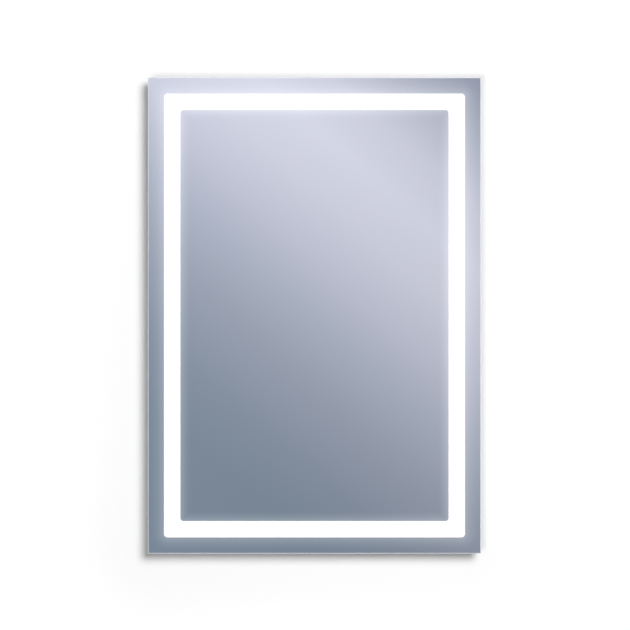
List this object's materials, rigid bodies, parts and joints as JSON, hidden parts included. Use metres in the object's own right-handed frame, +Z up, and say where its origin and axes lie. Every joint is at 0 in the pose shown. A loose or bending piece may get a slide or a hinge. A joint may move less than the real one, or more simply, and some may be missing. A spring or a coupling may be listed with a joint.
{
  "type": "lighted bathroom mirror",
  "caption": "Frameless rectangular wall mirror with a lit sandblasted band set in from its edge, on a shallow metal box that hooks onto a wall rail.",
  "frame": {"origin": "middle of the wall rail's screw line, on the wall plane", "axes": "+X to the viewer's right, +Y into the wall, +Z up"},
  "size_m": [0.7, 0.036, 1],
  "materials": {
    "pane_glass": "clear float glass, polished arris",
    "silver": "silvered",
    "light_band": "sandblasted and opal coated, lit from behind",
    "foam": "closed-cell foam tape",
    "frame": "satin anodised",
    "panel_sheet": "galvanised",
    "rail_steel": "zinc plated",
    "fixings": "zinc plated",
    "channel": "mill finish",
    "opal": "opal diffuser, lit",
    "led_strip": "white flexible circuit",
    "demister": "amber heating film",
    "driver_shell": "moulded, fine texture",
    "circuit": "green lacquered board",
    "ferrite": "wound core",
    "capacitor": "sleeved",
    "box_plastic": "moulded, fine texture",
    "clear_nylon": "natural nylon",
    "brass": "plain",
    "rubber": "soft moulded",
    "mains_sheath": "white sheath",
    "earth_sheath": "green and yellow sheath",
    "switch_plastic": "moulded, glossy"
  },
  "bodies": {
    "wall_bracket": {"wall_rail": "rail_steel"},
    "mirror": {"hanger_rail": "rail_steel", "hanger_rail_rivets": "fixings", "mirror_glass": "pane_glass", "light_band": "light_band", "silver_coat": "silver", "glass_tape": "foam", "demister_pad": "demister", "frame_rail_top": "frame", "frame_rail_right": "frame", "frame_rail_bottom": "frame", "frame_rail_left": "frame", "corner_key_top_right": "rail_steel", "corner_key_bottom_right": "rail_steel", "corner_key_bottom_left": "rail_steel", "corner_key_top_left": "rail_steel", "corner_key_screws": "fixings", "back_panel": "panel_sheet", "back_panel_screws": "fixings", "wall_bumpers": "rubber", "led_channel_top": "channel", "led_cover_top": "opal", "led_strip_top": "led_strip", "led_channel_right": "channel", "led_cover_right": "opal", "led_strip_right": "led_strip", "led_channel_bottom": "channel", "led_cover_bottom": "opal", "led_strip_bottom": "led_strip", "led_channel_left": "channel", "led_cover_left": "opal", "led_strip_left": "led_strip", "led_channel_screws": "fixings", "driver_base": "driver_shell", "driver_cover": "driver_shell", "driver_board": "circuit", "driver_transformer": "ferrite", "driver_capacitors": "capacitor", "driver_screws": "fixings", "terminal_box": "box_plastic", "terminal_box_lid": "box_plastic", "terminal_box_screws": "fixings", "terminal_block": "clear_nylon", "terminal_block_screws": "brass", "cable_clamp": "clear_nylon", "cable_clamp_screws": "fixings", "cable_grommet": "rubber", "earth_stud": "fixings", "earth_nut_and_tag": "fixings", "mains_lead": "mains_sheath", "led_lead": "mains_sheath", "led_link_leads": "mains_sheath", "demister_lead": "mains_sheath", "switch_lead": "mains_sheath", "earth_lead": "earth_sheath", "lead_clips": "clear_nylon", "switch_body": "switch_plastic", "switch_blades": "brass", "switch_plug": "clear_nylon"},
    "rocker": {"switch_rocker": "switch_plastic"}
  },
  "joints": [
    {"name": "lift_off", "type": "slide", "parent": "wall_bracket", "child": "mirror", "axis": [0, 0, 1], "range_m": [0, 0.012]},
    {"name": "switch_tilt", "type": "hinge", "parent": "mirror", "child": "rocker", "pos_m": [0.29, -0.02, -0.863], "axis": [0, 1, 0], "range_deg": [0, 20]}
  ]
}
